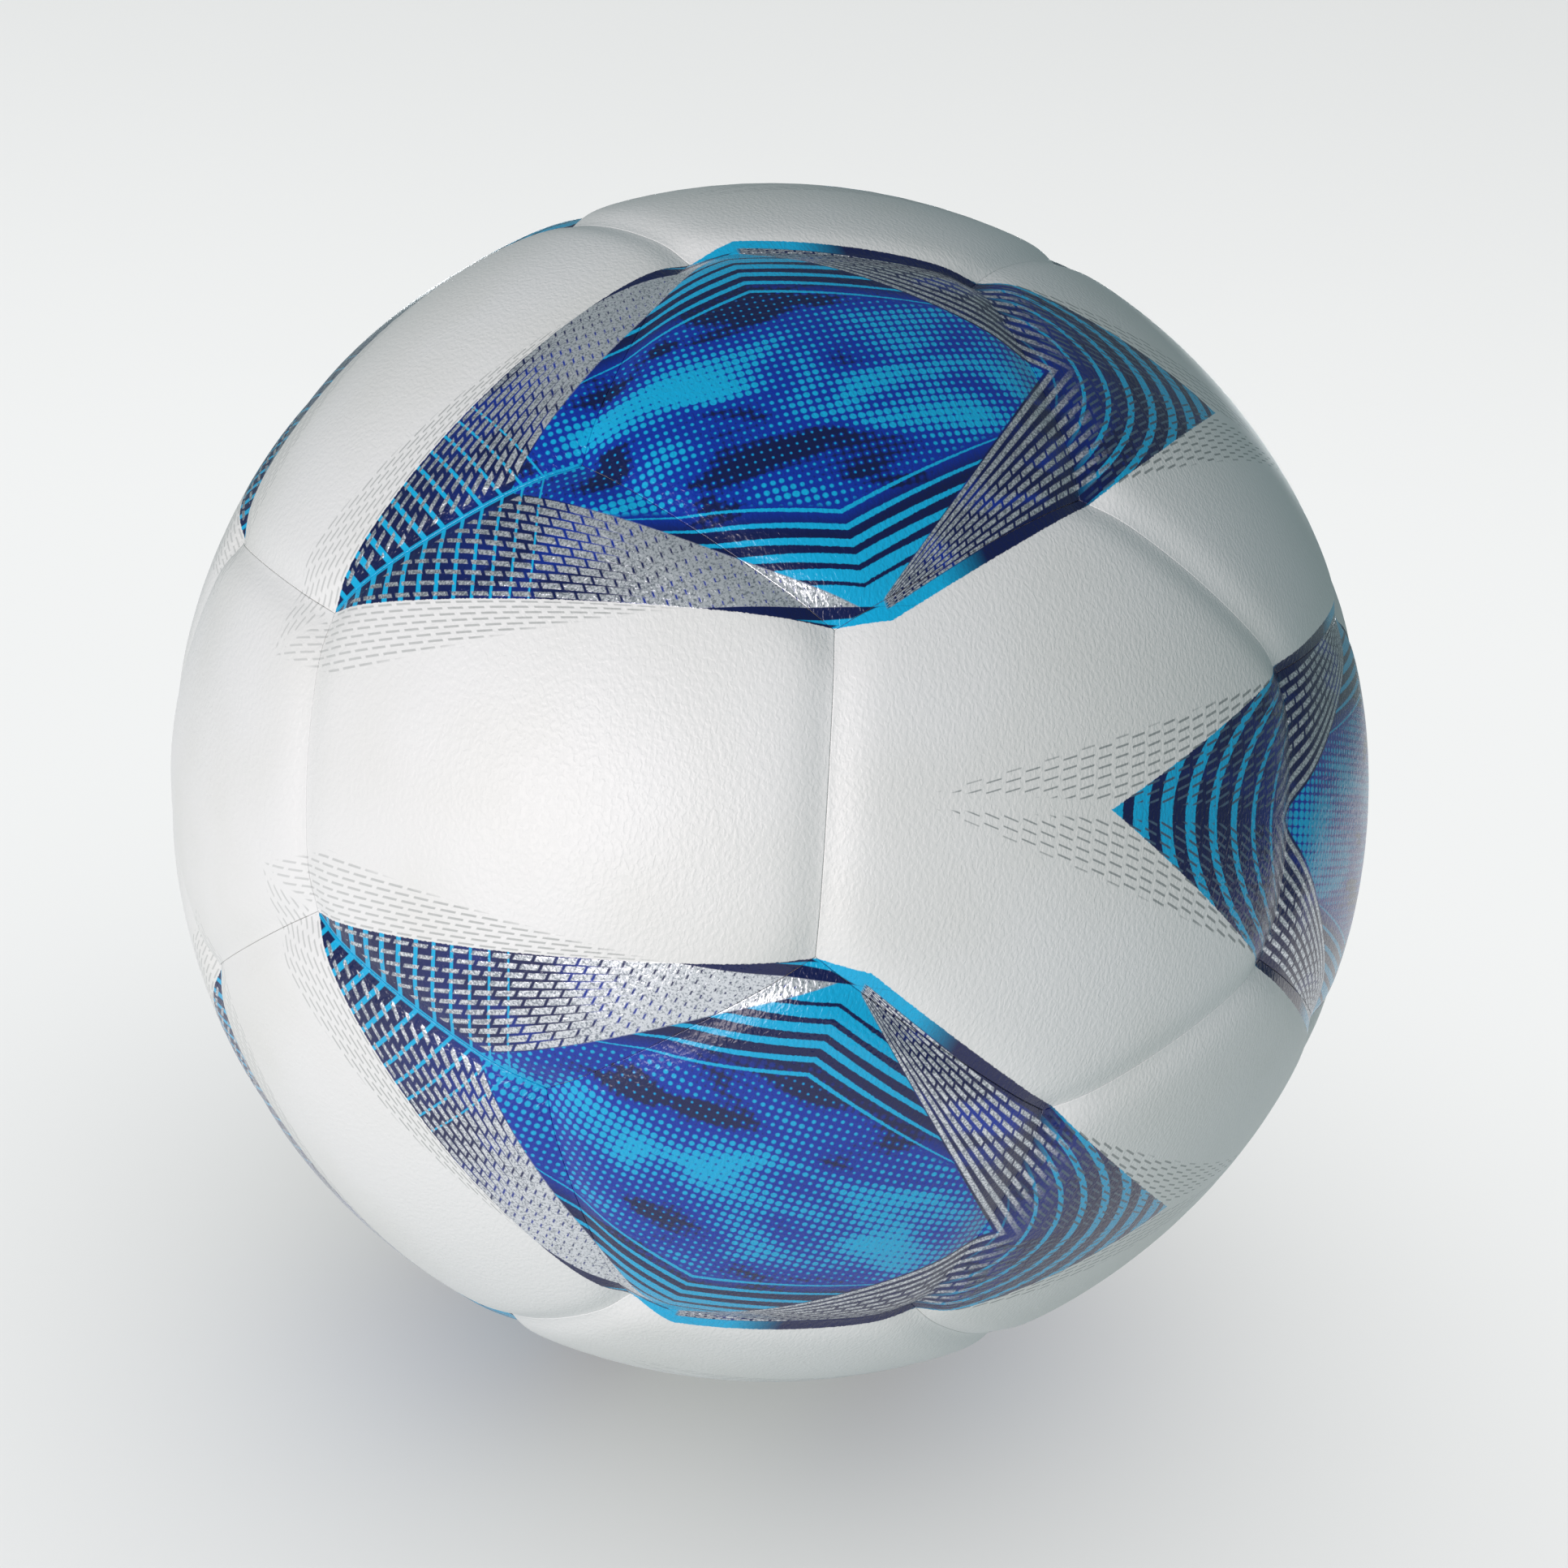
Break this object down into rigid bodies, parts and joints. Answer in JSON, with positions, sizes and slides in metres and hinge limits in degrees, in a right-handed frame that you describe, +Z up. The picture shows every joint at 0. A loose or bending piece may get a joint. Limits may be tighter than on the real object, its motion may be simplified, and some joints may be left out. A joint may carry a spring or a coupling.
{
  "type": "soccer ball",
  "caption": "Inflatable football of stitched pentagon and hexagon panels with a blue print, over a lining, a bladder and a needle valve.",
  "frame": {"origin": "centre of the ball, which is the centre of its bounding box", "axes": "+Z up, with the ball standing on the middle of a hexagon panel; -Y towards the front, where the plain hexagon between two printed pentagons shows; the valve points away to the right and back"},
  "size_m": [0.22, 0.2198, 0.2196],
  "materials": {
    "cover_white": "fine-grained white polyurethane synthetic leather, satin",
    "cover_printed": "the same grained cover printed in royal blue, navy, cyan and silver ink, glossy",
    "waxed_thread": "waxed polyester sewing thread",
    "lining_cloth": "plain-woven polyester and cotton backing cloth",
    "butyl_rubber": "moulded butyl rubber",
    "valve_rubber": "soft moulded rubber",
    "ring_plastic": "moulded nylon"
  },
  "bodies": {
    "root": {"pentagon_panel_01": "cover_white", "pentagon_panel_02": "cover_printed", "pentagon_panel_03": "cover_printed", "pentagon_panel_04": "cover_printed", "pentagon_panel_05": "cover_printed", "pentagon_panel_06": "cover_printed", "pentagon_panel_07": "cover_printed", "pentagon_panel_08": "cover_printed", "pentagon_panel_09": "cover_printed", "pentagon_panel_10": "cover_printed", "pentagon_panel_11": "cover_printed", "valve_panel": "cover_white", "hexagon_panel_01": "cover_white", "hexagon_panel_02": "cover_white", "hexagon_panel_03": "cover_white", "hexagon_panel_04": "cover_white", "hexagon_panel_05": "cover_white", "hexagon_panel_06": "cover_white", "hexagon_panel_07": "cover_white", "hexagon_panel_08": "cover_white", "hexagon_panel_09": "cover_white", "hexagon_panel_10": "cover_white", "hexagon_panel_11": "cover_white", "hexagon_panel_12": "cover_white", "hexagon_panel_13": "cover_white", "hexagon_panel_14": "cover_white", "hexagon_panel_15": "cover_white", "hexagon_panel_16": "cover_white", "hexagon_panel_17": "cover_white", "hexagon_panel_18": "cover_white", "hexagon_panel_19": "cover_white", "hexagon_panel_20": "cover_white", "seam_thread": "waxed_thread", "fabric_lining": "lining_cloth", "bladder": "butyl_rubber", "valve_body": "valve_rubber", "valve_plug": "valve_rubber", "valve_patch": "butyl_rubber", "balance_patch": "butyl_rubber", "valve_ring": "ring_plastic"}
  },
  "joints": []
}
